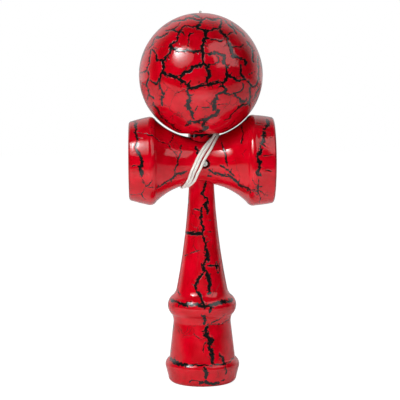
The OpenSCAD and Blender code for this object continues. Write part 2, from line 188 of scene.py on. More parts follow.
CROSS_CUP_CRACKS = [
    (1.0, [(-32.5, 20), (-32, 14.5), (-31.5, 9), (-32.5, 6.5), (-31, 3), (-29, -1), (-29.5, -2.5)]),
    (1.2, [(-31, -2.5), (-30, -5), (-29.5, -7.5)]),
    (0.45, [(-32, 15), (-30, 13.5), (-26, 13), (-21.5, 10.5), (-19, 9.5), (-16, 8.5)]),
    (0.5, [(-16, 8.5), (-14.5, 11), (-14, 13.5)]),
    (0.4, [(-16, 8.5), (-15.5, 6), (-13, 3), (-11.5, 1)]),
    (0.5, [(-10, 8), (-10, 4), (-10.5, 2), (-11.5, 0.5), (-11.5, -2), (-13, -4.5), (-13.5, -7)]),
    (0.8, [(-23, -13.5), (-20.5, -12), (-15, -9.5), (-12, -7), (-9.5, -6), (-7.5, -5.5)]),
    (0.3, [(-28.5, -12), (-26, -13), (-23, -13)]),
    (0.3, [(-29.5, -9.5), (-28, -12), (-28.5, -14), (-29.5, -17), (-28, -19.5)]),
    (1.0, [(-3, 7), (-2, 5), (-2.5, 3.5)]),
    (0.6, [(10, 10), (10.5, 7), (12, 4.5), (12.5, 1.5), (13, -2.5)]),
    (0.8, [(9.5, -2.5), (12, -4), (15, -6), (16, -8)]),
    (1.2, [(4, -5), (6, -6), (11, -7.5), (15, -8.5), (17.5, -10.5), (19, -12), (23, -13.5), (24.5, -16)]),
    (0.7, [(4, -5.5), (3.5, -7.5), (5, -8)]),
    (1.25, [(33, 20), (33.5, 18), (31.5, 15), (30.5, 9.5), (29, 7.5),
            (29.5, 4.5), (28, 1.5), (29.5, -1.5)]),
    (1.2, [(29.5, -1.5), (29, -3.5), (28.5, -6.5), (29.5, -8)]),
    (0.6, [(20, 17.5), (20.5, 14), (20, 11), (19.5, 8)]),
    (0.3, [(26.5, -12.5), (28, -15), (30, -13)]),
    (0.3, [(25, -15.5), (28, -15), (31, -16.5), (33.5, -18.5)]),
    (0.3, [(28.5, -9.5), (28, -15), (29, -18.5), (28.5, -21.5)]),
    (0.3, [(-35.5, -16.5), (-32.5, -17), (-30, -16.5)]),
    (0.3, [(27, 18), (32, 18)]),
    (0.2, [(30, 2.4), (33, 2.2), (35.2, 2.5)]),
    (0.2, [(31, -5.4), (35.2, -5.6)]),
    (0.2, [(30, 9), (31.5, 7.5), (33, 5.5)]),
    (0.2, [(25.5, -8.5), (26.5, -11.5), (28, -15)]),
    (0.2, [(22.5, -15.8), (25, -14.5), (28, -15)]),
    (0.2, [(-35.2, -2.6), (-32, -2.4)]),
    (0.2, [(-29.5, -9), (-27.5, -11), (-26.5, -13)]),
    (0.2, [(-27.5, -13), (-25.5, -11), (-24.5, -9.5)]),
]
HANDLE_CRACKS_AND_SHADE = [
    (0.8, [(2, 100), (1.5, 96), (0.5, 94), (3, 91.5), (3, 90)]),
    (1.3, [(3, 90), (2, 88), (3, 84.5)]),
    (0.9, [(0.6, 87), (-0.5, 81.5), (1, 78), (0, 74.5), (1.5, 72), (1.5, 66.5)]),
    (1.2, [(-7.5, 74.5), (-5, 74.5), (0.5, 74.5)]),
    (1.6, [(2.5, 66), (2.5, 64), (3.5, 61)]),
    (1.4, [(1, 60.5), (1, 57.5), (1.5, 55.5)]),
    (1.6, [(2.5, 54.5), (3.5, 51), (4, 46.5), (4, 43.5)]),
    (1.0, [(1.5, 55), (-1, 52), (-2.5, 49.5), (-3, 47), (-1.5, 44), (0, 40.5), (1, 38)]),
    (1.3, [(-16, 41), (-12.5, 40), (-8, 38.5), (-3, 39), (1, 38),
           (5.5, 38.5), (9, 39), (11.5, 40), (15, 41)]),
    (1.3, [(4.5, 36.5), (4, 35)]),
    (1.0, [(0, 33), (2, 32.5), (1, 30.5), (1.5, 28.5)]),
    (1.8, [(2.5, 26.5), (2, 23.5), (4, 21), (4, 16.5), (5.5, 12.5), (5, 9)]),
    (1.2, [(9, 14), (10, 12), (11, 9)]),
    (0.4, [(3, 28.5), (7.5, 28), (11.5, 29.5), (13.5, 31.5)]),
    (0.3, [(4, 29), (8.5, 31), (11.5, 33.5)]),
    (0.4, [(1.5, 20), (1, 17.5), (1, 14.5)]),
    (0.3, [(-4.5, 23.5), (-0.5, 21)]),
    (1.2, [(-16, 11.5), (-14, 9.5), (-11, 8.5), (-6, 8)]),
    (0.6, [(-6, 8), (-1.5, 8), (5.5, 7.5), (11, 8.5), (16.5, 11)]),
    (1.4, [(1.5, 6.5), (2, 3.5), (1.5, 1)]),
    (1.3, [(-0.5, -1.5), (2.5, -1), (7.5, -2)]),
    (0.7, [(11.5, 8.5), (12, 5.5), (11.5, 3)]),
    (0.5, [(9, -0.5), (11, 0.5)]),
    (0.3, [(-9, 63.5), (-4.5, 64.5), (-1, 65.5)]),
    (0.3, [(-5, 86.5), (-0.5, 86)]),
    (0.5, [(3.5, 58.5), (6.5, 58), (8.5, 57.5), (8.5, 54), (7, 56), (8, 59.5)]),
    (0.3, [(6.5, 66.5), (8.5, 67)]),
    (0.3, [(-12.5, 47), (-11, 43.5)]),
    (0.3, [(-7, -1), (-5.5, 0.5), (0, -0.5)]),
    # Painted shade: a black band round the foot of the spike, just under the ball's mouth, where the ball
    # shades it
    (1.3, [(-5, 123.4), (0, 123.2), (5, 123.4)]),
    (0.2, [(6.5, 57.5), (7.2, 60), (8.6, 60.8), (9, 58)]),
    (0.2, [(3, 80.5), (5, 80.3)]),
    (0.2, [(3.5, 75.5), (5.5, 75.2)]),
]

# The paint has shrunk back from the cracks by this much, and no crack is finer than LEAST_HALF to a side
CRACK_SPREAD, LEAST_HALF = 1.42, 0.27
# Spacing of the points along a crack, and its kinks: how far they reach and how often they come
TRACE_STEP = 0.3
KINKS = ((0.45, 2.2), (0.22, 0.8))
# A crack narrows to a share of its width at its ends, and its width goes up and down within a range
END_SHARE, TAPER_STEP = 0.7, 0.12
UNEVEN_LOW, UNEVEN_HIGH, UNEVEN_EVERY = 0.7, 1.25, 4
# Spurs beside cracks wider than SPUR_FROM: points of the crack from one to the next and to its ends, and the
# spur's own points, lean, least and greatest reach beyond the crack's width, and half widths
SPUR_FROM, SPUR_EVERY, SPUR_MARGIN = 0.75, 11, 6
SPUR_POINTS, SPUR_LEAN, SPUR_LEAST, SPUR_MOST = 7, 0.6, 0.5, 1.0
SPUR_HALF, SPUR_END_HALF = 0.36, 0.12
# How far the torn edges step in and out: as a share of half the crack, and on the hidden sides
RAGGED, HIDDEN_RAGGED = 0.6, 0.25
# Cracks of the hidden sides: their width, the facing to the front up to which they show, and their fade
HIDDEN_W, HIDDEN_FROM, HIDDEN_FADE = 1.1, 0.25, 40
# Their borders: waves and finer teeth as (reach, spacing), and the share of the width, its change and spacing
HIDDEN_WAVES, HIDDEN_TEETH = (1.6, 4), (0.5, 1.1)
HIDDEN_SHARE, HIDDEN_CHANGE, HIDDEN_SPACING = 0.45, 0.75, 9
# How deep a crack lies, over how wide an edge, and how far below the profile still counts as outside
SINK, SINK_EDGE, SKIN = 0.07, 0.3, 0.3
# Longer than any way from a piece's axis to its surface, and how often that way is halved to find it
SIGHT, HALVINGS = 60.0, 24


def unit(v):
    return v / np.linalg.norm(v)


def camera_place():
    azimuth, elevation = math.radians(CAMERA_AZIMUTH), math.radians(CAMERA_ELEVATION)
    level = math.cos(elevation)
    back = [math.sin(azimuth) * level, -math.cos(azimuth) * level, math.sin(elevation)]
    return CAMERA_ORBIT + CAMERA_DISTANCE * np.array(back)


# Turned profiles: each stretch is an array of (radius, place along the axis), with the solid on its left


def steps(length, spacing=GRID):
    return max(1, round(length / spacing))


def line(p, q, spacing=GRID):
    p, q = np.array(p, float), np.array(q, float)
    return p + np.linspace(0, 1, steps(np.linalg.norm(q - p), spacing) + 1)[:, None] * (q - p)


def arc(centre, radius, start, end, spacing=GRID):
    a = np.radians(np.linspace(start, end, steps(radius * abs(math.radians(end - start)), spacing) + 1))
    return np.array(centre) + radius * np.stack([np.cos(a), np.sin(a)], 1)


def bow(p, q, rise):
    """The arc over the chord p to q that bulges to the left of it by rise."""
    p, q = np.array(p, float), np.array(q, float)
    half = np.linalg.norm(q - p) / 2
    radius = (half**2 + rise**2) / (2 * rise)
    a = np.linspace(-1, 1, steps(2 * half) + 1) * math.asin(half / radius)
    along, left = unit(q - p), unit(np.array([p[1] - q[1], q[0] - p[0]]))
    bulge = radius * np.cos(a) - radius + rise
    return p + np.outer(half + radius * np.sin(a), along) + np.outer(bulge, left)


def dish(mouth_d, depth, mouth_at, way):
    """A hollow from its deepest point to its mouth; way is +1 where it goes in along the axis."""
    radius = (mouth_d**2 / 4 + depth**2) / (2 * depth)
    edge = math.degrees(math.asin(mouth_d / 2 / radius))
    centre = [0, mouth_at + way * (depth - radius)]
    return arc(centre, radius, 90 * way, 90 * way - way * edge, COARSE / 2)


def joined(*stretches):
    """One profile from stretches that meet end to end."""
    return np.concatenate([s[:-1] for s in stretches] + [stretches[-1][-1:]])


def handle_profile():
    lip_centre = [LIP_D / 2 - LIP_ROUND, LIP_Z]
    lip_high = math.degrees(math.acos((BODY_D / 2 - lip_centre[0]) / LIP_ROUND))
    lip = arc(lip_centre, LIP_ROUND, LIP_LOW, lip_high)
    foot = arc([RIM_D / 2, FOOT_EDGE], FOOT_EDGE, -90, 0)
    ring_z = NECK_Z + COVE_H + RING_HALF
    ring_a = math.degrees(math.asin(RING_HALF / RING_ROUND))
    ring = arc([RING_D / 2 - RING_ROUND, ring_z], RING_ROUND, -ring_a, ring_a)
    neck = [NECK_D / 2, NECK_Z]
    stem_foot = [STEM_FOOT_D / 2, ring_z + RING_HALF + FLARE_H]
    stem_top, spike_foot = [STEM_TOP_R, SEAT_Z], [SPIKE_R, SADDLE_Z]
    tip_edge = [TIP_D / 2, TIP_Z - TIP_ROUND]
    return joined(
        dish(BASE_CUP_D, BASE_CUP_DEPTH, 0, 1),
        line([BASE_CUP_D / 2, 0], foot[0]),
        foot,
        line(foot[-1], lip[0]),
        lip,
        line(lip[-1], neck),
        bow(neck, ring[0], COVE_RISE),
        ring,
        bow(ring[-1], stem_foot, FLARE_RISE),
        bow(stem_foot, stem_top, STEM_CURVE),
        line(stem_top, spike_foot, COARSE),
        bow(spike_foot, tip_edge, -SPIKE_BOW),
        bow(tip_edge, [0, TIP_Z], -TIP_BOW),
    )


def shoulder_in(d, side):
    return np.array([d / 2 - SHOULDER_DROP, side * (HALF_LEN - BAND_W - SHOULDER_W)])


def shoulder_out(d, side):
    return np.array([d / 2, side * (HALF_LEN - BAND_W)])


def rise_of(p, q, radius):
    return radius - math.sqrt(radius**2 - np.dot(q - p, q - p) / 4)


BIG_WAIST, SMALL_WAIST = np.array([WAIST_R, WAIST_BIG]), np.array([WAIST_R, -WAIST_SMALL])
BIG_END, SMALL_END = shoulder_in(BIG_SHOULDER_D, 1), shoulder_in(SMALL_SHOULDER_D, -1)
BIG_FLANK = bow(BIG_WAIST, BIG_END, rise_of(BIG_WAIST, BIG_END, FLANK_R))
SMALL_FLANK = bow(SMALL_END, SMALL_WAIST, rise_of(SMALL_END, SMALL_WAIST, FLANK_R))


def cross_cup_profile():
    small_rim = arc([SMALL_RIM_D / 2 - RIM_EDGE, RIM_EDGE - HALF_LEN], RIM_EDGE, -90, 0)
    big_rim = arc([BIG_RIM_D / 2 - RIM_EDGE, HALF_LEN - RIM_EDGE], RIM_EDGE, 0, 90)
    return joined(
        dish(SMALL_CUP_D, SMALL_CUP_DEPTH, -HALF_LEN, 1),
        line([SMALL_CUP_D / 2, -HALF_LEN], small_rim[0]),
        small_rim,
        bow(small_rim[-1], shoulder_out(SMALL_SHOULDER_D, -1), -BAND_RISE),
        bow(shoulder_out(SMALL_SHOULDER_D, -1), SMALL_FLANK[0], -SHOULDER_RISE),
        SMALL_FLANK,
        line(SMALL_WAIST, BIG_WAIST),
        BIG_FLANK,
        bow(BIG_FLANK[-1], shoulder_out(BIG_SHOULDER_D, 1), -SHOULDER_RISE),
        bow(shoulder_out(BIG_SHOULDER_D, 1), big_rim[0], -BAND_RISE),
        big_rim,
        line(big_rim[-1], [BIG_CUP_D / 2, HALF_LEN]),
        dish(BIG_CUP_D, BIG_CUP_DEPTH, HALF_LEN, -1)[::-1],
    )


def ball_profile():
    """The ball's own loop, from the mouth of the bore up the outside and back down inside."""
    hole_mouth_r = BALL_HOLE_R + BALL_HOLE_ROUND
    top = math.degrees(math.acos(hole_mouth_r / BALL_R))
    hole_z = BALL_Z + BALL_R * math.sin(math.radians(top)) - BALL_HOLE_ROUND
    mouth = arc([hole_mouth_r, hole_z], BALL_HOLE_ROUND, 90, 180)
    return joined(
        arc([0, BALL_Z], BALL_R, -math.degrees(math.acos(MOUTH_R / BALL_R)), top),
        mouth,
        line(mouth[-1], [BALL_HOLE_R, BORE_TOP_Z], COARSE),
        line([BALL_HOLE_R, BORE_TOP_Z], [BORE_R, BORE_TOP_Z], COARSE),
        line([BORE_R, BORE_TOP_Z], [BORE_R, MOUTH_Z + MOUTH_BEVEL], COARSE),
        line([BORE_R, MOUTH_Z + MOUTH_BEVEL], [MOUTH_R, MOUTH_Z]),
    )


# Meshes


def mesh_object(name, points, faces):
    mesh = bpy.data.meshes.new(name)
    mesh.from_pydata((np.asarray(points) * MM).tolist(), [], faces)
    made = bpy.data.objects.new(name, mesh)
    bpy.context.scene.collection.objects.link(made)
    return made


def turned(name, profile, sides, about_x=False):
    """A profile turned about Z, or about X at the cross cup's height. Ends on the axis close into poles."""
    is_loop = np.allclose(profile[0], profile[-1])
    rings = profile[:-1] if is_loop else profile[1:-1]
    # The vertices lie closer together on the front, whose cracks are drawn from the photograph
    even = np.linspace(0, 2 * math.pi, sides, endpoint=False)
    front = math.pi if about_x else -math.pi / 2
    angle = even - FRONT_CROWDING * np.sin(even - front)
    around = np.stack([np.cos(angle), np.sin(angle)], 1)
    points = np.concatenate([np.column_stack([r * around, np.full(sides, h)]) for r, h in rings])
    pairs = [(i, (i + 1) % len(rings)) for i in range(len(rings) - (0 if is_loop else 1))]
    after = [(j, (j + 1) % sides) for j in range(sides)]
    faces = [
        (i * sides + j, i * sides + k, m * sides + k, m * sides + j) for i, m in pairs for j, k in after
    ]
    if not is_loop:
        first, last = len(points), len(points) + 1
        points = np.concatenate([points, [[0, 0, profile[0][1]], [0, 0, profile[-1][1]]]])
        end = (len(rings) - 1) * sides
        faces += [(first, k, j) for j, k in after] + [(last, end + j, end + k) for j, k in after]
    if about_x:
        points = points[:, [2, 0, 1]] + [0, 0, CROSS_Z]
    return mesh_object(name, points, faces)


def cut(piece, start, end, start_r, end_r, sides=64):
    """Drills a round, straight or tapered hole from start to end."""
    start, end = np.array(start, float), np.array(end, float)
    way = unit(end - start)
    side = unit(np.cross(way, [1, 0, 0] if abs(way[0]) < 0.9 else [0, 1, 0]))
    angle = np.linspace(0, 2 * math.pi, sides, endpoint=False)
    around = np.outer(np.cos(angle), side) + np.outer(np.sin(angle), np.cross(way, side))
    points = np.concatenate([start + start_r * around, end + end_r * around])
    faces = [(j, (j + 1) % sides, sides + (j + 1) % sides, sides + j) for j in range(sides)]
    faces += [tuple(range(sides))[::-1], tuple(range(sides, 2 * sides))]
    cutter = mesh_object("cutter", points, faces)
    difference = piece.modifiers.new("cut", "BOOLEAN")
    difference.operation, difference.solver, difference.object = "DIFFERENCE", "MANIFOLD", cutter
    graph = bpy.context.evaluated_depsgraph_get()
    piece.data = bpy.data.meshes.new_from_object(piece.evaluated_get(graph))
    piece.modifiers.clear()
    bpy.data.objects.remove(cutter)


def points_of(piece):
    flat = np.empty(len(piece.data.vertices) * 3)
    piece.data.vertices.foreach_get("co", flat)
    return flat.reshape(-1, 3) / MM


def along_and_off(points, about_x):
    """Places of points along a turned piece's axis, and their distances from it."""
    x, y, z = points.T
    return (x, np.hypot(y, z - CROSS_Z)) if about_x else (z, np.hypot(x, y))


# Cracks


def on_surface(points, profile, base, about_x):
    """Moves points from the plane through the axis along the line of sight onto a turned surface."""
    camera = camera_place()
    start = np.column_stack([points[:, 0], np.zeros(len(points)), points[:, 1] + base])
    way = camera - start
    way /= np.linalg.norm(way, axis=1)[:, None]
    near, far = np.zeros(len(points)), np.full(len(points), SIGHT)

    def outside(at):
        along, off = along_and_off(start + at[:, None] * way, about_x)
        return off > np.interp(along, profile[:, 1], profile[:, 0], left=0, right=0)

    for _ in range(HALVINGS):
        middle = (near + far) / 2
        out = outside(middle)
        near, far = np.where(out, near, middle), np.where(out, middle, far)
    return start + near[:, None] * way


def jagged(points, rng):
    """Points along a crack at an even spacing, with the small kinks that torn paint has."""
    points = np.array(points, float)
    run = np.concatenate([[0], np.cumsum(np.linalg.norm(np.diff(points, axis=0), axis=1))])
    at = np.linspace(0, run[-1], max(3, round(run[-1] / TRACE_STEP)))
    smooth = np.stack([np.interp(at, run, points[:, k]) for k in (0, 1)], 1)
    for size, every in KINKS:
        knots = np.arange(0, run[-1] + 2 * every, every)
        kinks = rng.uniform(-size, size, (len(knots), 2))
        smooth += np.stack([np.interp(at, knots, kinks[:, k]) for k in (0, 1)], 1)
    return smooth


def drawn_cracks(cracks, profile, base, about_x, rng):
    """Places of the listed cracks on a piece, and half the width of the crack at each."""
    traces, halves = [], []
    for width, points in cracks:
        trace = jagged(points, rng)
        t = np.linspace(0, 1, len(trace))
        taper = np.clip(np.minimum(t, 1 - t) * len(trace) * TAPER_STEP + END_SHARE, 0, 1)
        swells = np.linspace(0, 1, len(trace) // UNEVEN_EVERY + 2)
        uneven = np.interp(t, swells, rng.uniform(UNEVEN_LOW, UNEVEN_HIGH, len(swells)))
        traces.append(trace)
        halves.append(np.maximum(width * CRACK_SPREAD / 2, LEAST_HALF) * taper * uneven)
        # Short spurs beside the wider cracks, where the paint has begun to tear
        places = range(SPUR_MARGIN, len(trace) - SPUR_MARGIN, SPUR_EVERY)
        for k in places if width > SPUR_FROM else ():
            along = unit(trace[k + 3] - trace[k - 3])
            side = along[::-1] * [-1, 1] * rng.choice([-1, 1]) + rng.uniform(-SPUR_LEAN, SPUR_LEAN, 2)
            reach = np.linspace(0, rng.uniform(SPUR_LEAST, SPUR_MOST) + width, SPUR_POINTS)
            traces.append(trace[k] + np.outer(reach, side))
            halves.append(np.linspace(SPUR_HALF, SPUR_END_HALF, SPUR_POINTS))
    return on_surface(np.concatenate(traces), profile, base, about_x), np.concatenate(halves)


def tree_of(points):
    tree = kdtree.KDTree(len(points))
    for i, p in enumerate(points):
        tree.insert(p, i)
    tree.balance()
    return tree


def drawn_field(points, places, halves):
    """Distance from each point to the nearest listed crack's edge, negative inside, and its half width."""
    tree = tree_of(places)
    nearest = [min((d - halves[i], halves[i]) for _, i, d in tree.find_n(p, 5)) for p in points]
    return np.array(nearest).T


def cell_field(points, cell, width, rng):
    """The same distance for cracks along the borders of random cells, for the hidden sides."""
    low, high = points.min(0) - cell, points.max(0) + cell
    tree = tree_of(rng.uniform(low, high, (int(np.prod((high - low) / cell)), 3)))
    field = np.empty(len(points))
    for k, p in enumerate(points):
        p = Vector(p)
        # The borders are bent in waves, with finer teeth on them
        bent = p.copy()
        for reach, spacing in (HIDDEN_WAVES, HIDDEN_TEETH):
            bent += reach * noise.noise_vector(p / spacing)
        (a, _, near), (b, _, far) = tree.find_n(bent, 2)
        half = width * (HIDDEN_SHARE + HIDDEN_CHANGE * noise.noise(p / HIDDEN_SPACING))
        field[k] = (far**2 - near**2) / (2 * (b - a).length) - half
    return field


def crackle(piece, cracks, profile, base, cell, about_x=False, bare=None):
    """Writes the crack field onto a lacquered piece and sinks the cracks a little into its surface."""
    rng = np.random.default_rng(SEED)
    # Without a seed of its own, Blender's vector noise is different in each run
    noise.seed_set(SEED)
    points = points_of(piece)
    along, off = along_and_off(points, about_x)
    facing = -points[:, 1] / np.maximum(off, 1e-6)
    is_outside = off > np.interp(along, profile[:, 1], profile[:, 0]) - SKIN
    field, half = drawn_field(points, *drawn_cracks(cracks, profile, base, about_x, rng))
    behind = cell_field(points, cell, HIDDEN_W, rng)
    behind += np.where(is_outside, np.clip(facing - HIDDEN_FROM, 0, 1) * HIDDEN_FADE, 0)
    ragged = np.where(behind < field, HIDDEN_RAGGED, RAGGED * half)
    field = np.minimum(field, behind)
    if bare is not None:
        ragged = np.where(bare(points) < field, 0, ragged)
        field = np.minimum(field, bare(points))
    for name, values in (("crack", field), ("ragged", ragged)):
        attribute = piece.data.attributes.new(name, "FLOAT", "POINT")
        attribute.data.foreach_set("value", values.astype(np.float32))
    normals = np.empty(len(points) * 3)
    piece.data.vertices.foreach_get("normal", normals)
    sunk = np.clip(-field / SINK_EDGE + 0.5, 0, 1) * SINK
    points -= normals.reshape(-1, 3) * sunk[:, None]
    piece.data.vertices.foreach_set("co", (points * MM).ravel())
    piece.data.shade_smooth()
    piece.data.set_sharp_from_angle(angle=math.radians(40))
    piece.data.update()


# Materials


class Material:
    """A material whose nodes are added one call at a time; an input is a socket, a number or a colour."""

    def __init__(self, name, **constants):
        self.data = bpy.data.materials.new(name)
        self.data.use_nodes = True
        self.tree = self.data.node_tree
        self.shader = self.tree.nodes["Principled BSDF"]
        for socket, value in constants.items():
            self.shader.inputs[socket.replace("_", " ")].default_value = value

    def node(self, kind, inputs=(), out=0, **settings):
        made = self.tree.nodes.new("ShaderNode" + kind)
        for name, value in settings.items():
            setattr(made, name, value)
        for key, value in dict(inputs).items():
            self.set(made.inputs[key], value)
        return made.outputs[out]

    def set(self, socket, value):
        if isinstance(value, bpy.types.NodeSocket):
            self.tree.links.new(value, socket)
        else:
            socket.default_value = value

    def math(self, operation, *values, **settings):
        return self.node("Math", enumerate(values), operation=operation, **settings)

    def ramp(self, value, low, high, to_low=0.0, to_high=1.0):
        """value from low to high, taken smoothly to the range from to_low to to_high."""
        inputs = {"Value": value, "From Min": low, "From Max": high, "To Min": to_low, "To Max": to_high}
        return self.node("MapRange", inputs, interpolation_type="SMOOTHSTEP")

    def mix(self, factor, a, b):
        return self.node("Mix", {0: factor, 6: a, 7: b}, out=2, data_type="RGBA")

    def noise(self, coords, scale, detail=3.0, out=0):
        return self.node("TexNoise", {"Vector": coords, "Scale": scale, "Detail": detail}, out=out)

    def bent(self, coords, scale, reach):
        """Coordinates pushed about by a noise."""
        push = self.noise(coords, scale, out="Color")
        push = self.node("VectorMath", {0: push, "Scale": reach}, operation="SCALE")
        return self.node("VectorMath", {0: coords, 1: push}, operation="ADD")

    def surface(self, **sockets):
        for socket, value in sockets.items():
            self.set(self.shader.inputs[socket.replace("_", " ")], value)


def crackle_lacquer(name):
    """Red paint that has cracked open over a black base coat, all under one glossy clear coat."""
    m = Material(name, Specular_IOR_Level=0.5)
    coords = m.node("TexCoord", out="Object")
    crack = m.node("Attribute", attribute_name="crack", out="Fac")
    # The paint tears off in small flakes, each a step nearer to the crack or further from it
    flakes = m.node("TexVoronoi", {"Vector": m.bent(coords, 1500, 0.0006), "Scale": 950.0}, out="Color")
    step = m.math("MULTIPLY_ADD", m.node("SeparateColor", {0: flakes}), 2.0, -1.0)
    ragged = m.node("Attribute", attribute_name="ragged", out="Fac")
    torn = m.math("ADD", crack, m.math("MULTIPLY", step, ragged))
    main = m.ramp(torn, 0.1, -0.06)

    bent = m.bent(coords, 260, 0.004)
    hair = m.node("TexVoronoi", {"Vector": bent, "Scale": 150.0}, feature="DISTANCE_TO_EDGE")
    shown = m.ramp(m.noise(coords, 70), 0.55, 0.62)
    fine = m.math("MULTIPLY", m.ramp(hair, 0.022, 0.006), shown)
    black = m.math("MAXIMUM", main, m.math("MULTIPLY", fine, 0.8))

    mottle = m.ramp(m.noise(coords, 160, 4), 0.3, 0.75)
    red = m.mix(mottle, (0.50, 0.0, 0.006, 1), (0.66, 0.0, 0.012, 1))
    colour = m.mix(black, red, (0.006, 0.006, 0.006, 1))

    near = m.ramp(crack, 1.6, 0.1)
    wrinkle = m.math("MULTIPLY", m.noise(coords, 1300, 2), m.math("MULTIPLY_ADD", near, 0.4, 0.32))
    uneven = m.math("MULTIPLY_ADD", m.noise(coords, 130, 1), 0.35, wrinkle)
    height = m.math("SUBTRACT", uneven, black)
    bump = m.node("Bump", {"Height": height, "Strength": 0.35, "Distance": 0.00012})
    smooth = m.ramp(m.noise(coords, 220, 3), 0.25, 0.75, 0.05, 0.13)
    rough = m.math("MULTIPLY_ADD", black, 0.05, smooth)
    m.surface(Base_Color=colour, Roughness=rough, Normal=bump)
    return m.data


def cord_cotton():
    """Off-white twisted yarn: the plies are in the mesh, with painted shade in the grooves between them, and
    the fibres in the bump.
    """
    m = Material("cord_cotton", Sheen_Weight=0.3, Sheen_Roughness=0.5, Specular_IOR_Level=0.25)
    coords = m.node("TexCoord", out="Object")
    fibre = m.noise(coords, 4500, 3)
    groove = m.node("Attribute", attribute_name="ply", out="Fac")
    soiled = m.ramp(m.noise(coords, 220, 3), 0.35, 0.8)
    pale = m.mix(soiled, (0.88, 0.86, 0.81, 1), (0.82, 0.79, 0.73, 1))
    # Painted shade: the colour is darkened in the grooves between the plies and between the fibres
    shade = m.math("MULTIPLY", m.ramp(groove, 0.05, 0.6, 0.7, 1.0), m.ramp(fibre, 0.2, 0.7, 0.92, 1.0))
    colour = m.node("VectorMath", {0: pale, "Scale": shade}, operation="SCALE")
    bump = m.node("Bump", {"Height": fibre, "Strength": 0.4, "Distance": 0.00015})
    m.surface(Base_Color=colour, Roughness=m.ramp(fibre, 0.2, 0.8, 0.7, 0.95), Normal=bump)
    return m.data


def bead_wood():
    """Plain pale wood, with its grain along the string."""
    m = Material("bead_wood", Specular_IOR_Level=0.3)
    coords = m.node("TexCoord", out="Object")
    stretched = m.node("VectorMath", {0: coords, 1: (1.0, 1.0, 0.15)}, operation="MULTIPLY")
    grain = m.noise(stretched, 1400, 4)
    colour = m.mix(m.ramp(grain, 0.3, 0.7), (0.56, 0.36, 0.16, 1), (0.74, 0.52, 0.28, 1))
    bump = m.node("Bump", {"Height": grain, "Strength": 0.3, "Distance": 0.0001})
    m.surface(Base_Color=colour, Roughness=m.ramp(grain, 0.2, 0.8, 0.5, 0.75), Normal=bump)
    return m.data


# Lacquered pieces


# Where the paint has worn thin round the cups' rims
RIM_LINE_X = 35.3
# How far the black base coat is bare beyond each edge and beside that line, and how deep the ball's inside
# begins
HOLE_BARE, SEAT_BARE, RIM_BARE = 0.25, 0.2, 0.1
MOUTH_BARE, BALL_HOLE_BARE, INSIDE = 0.1, 0.7, 0.4
# Vertices round each piece, and the size of the cells of paint on its hidden sides
BALL_SIDES, HANDLE_SIDES, CROSS_SIDES = 336, 220, 270
BALL_CELL, HANDLE_CELL, CROSS_CELL = 9.5, 15, 14
SMALL_HOLE_SIDES = 24


def bare_cross_cup(points):
    """Where the cross cup is black: round the string holes, inside its bores and along the rims."""
    x, y, z = points.T
    hole = np.hypot(x - HOLE_X, z - HOLE_Z) - CROSS_HOLE_D / 2 - HOLE_BARE
    seat = np.hypot(x, y) - STEM_TOP_R - SEAT_BARE
    rim = np.abs(np.abs(x) - RIM_LINE_X) - RIM_BARE
    return np.minimum(np.minimum(hole, seat), rim)


def bare_ball(points):
    """Where the ball is black: inside, and round the mouth of its bore and its string hole."""
    z, off = along_and_off(points, False)
    is_inside = np.hypot(off, z - BALL_Z) < BALL_R - INSIDE
    round_hole = np.where(z < BALL_Z, off - MOUTH_R - MOUTH_BARE, off - BALL_HOLE_R - BALL_HOLE_BARE)
    return np.where(is_inside, -1, round_hole)


def make_ball():
    outside = arc([0, BALL_Z], BALL_R, -90, 90)
    piece = turned("ball_lacquered", ball_profile(), BALL_SIDES)
    crackle(piece, BALL_CRACKS_AND_SHADE, outside, BALL_Z, BALL_CELL, bare=bare_ball)
    return piece


def outer(profile):
    """The part of a profile that shows from the side, with its places along the axis in rising order."""
    first, last = int(np.argmin(profile[:, 1])), int(np.argmax(profile[:, 1]))
    return profile[first : last + 1]


def make_handle():
    profile = handle_profile()
    piece = turned("handle_lacquered", profile, HANDLE_SIDES)
    front, back = [HOLE_X, -STEM_TOP_D, HOLE_Z], [HOLE_X, STEM_TOP_D, HOLE_Z]
    cut(piece, front, back, HANDLE_HOLE_D / 2, HANDLE_HOLE_D / 2, SMALL_HOLE_SIDES)
    crackle(piece, HANDLE_CRACKS_AND_SHADE, outer(profile), 0, HANDLE_CELL)
    return piece


def seat_r(z):
    return STEM_TOP_R + (SPIKE_R - STEM_TOP_R) * (z - SEAT_Z) / (SADDLE_Z - SEAT_Z)


def make_cross_cup():
    profile = cross_cup_profile()
    piece = turned("cross_cup_lacquered", profile, CROSS_SIDES, about_x=True)
    low, high = SEAT_Z - WAIST_R, SADDLE_Z + WAIST_R
    cut(piece, [0, 0, low], [0, 0, high], seat_r(low) + SEAT_GAP, seat_r(high) + SEAT_GAP)
    front, back = [HOLE_X, -WAIST_D, HOLE_Z], [HOLE_X, WAIST_D, HOLE_Z]
    cut(piece, front, back, CROSS_HOLE_D / 2, CROSS_HOLE_D / 2)
    crackle(piece, CROSS_CUP_CRACKS, outer(profile), CROSS_Z, CROSS_CELL, True, bare_cross_cup)
    return piece


# String: it leaves the back hole, is wound three times round the waist and goes up behind the ball.
# The angle runs from the top of the waist (0) over its front (90) and its underside (180).

TURNS = 3
LANE_W, LANE_SPREAD = 1.36, 0.6
TOP_LANE_W, STACK_H = 0.85, 1.6
WRAP_START, WRAP_END, WRAP_STEP = -68, 360 * TURNS - 140, 4
LANE_FROM, LANE_SPAN, CROWD_SPAN = 190, 160, 60
TOP_X = SPIKE_R + LAY_GAP + STRING_R + TOP_LANE_W
LOW_X = -STEM_TOP_R - LAY_GAP - STRING_R - LANE_W
# Where the middle turn lies along X at an angle
ROUTE = [
    (0, TOP_X), (18, 6.9), (45, 3.9), (87, -1.3), (100, -2.5), (115, -3.9), (140, -5.5), (160, -7.3),
    (180, LOW_X), (225, -5), (270, -1.7), (315, 2.7),
]
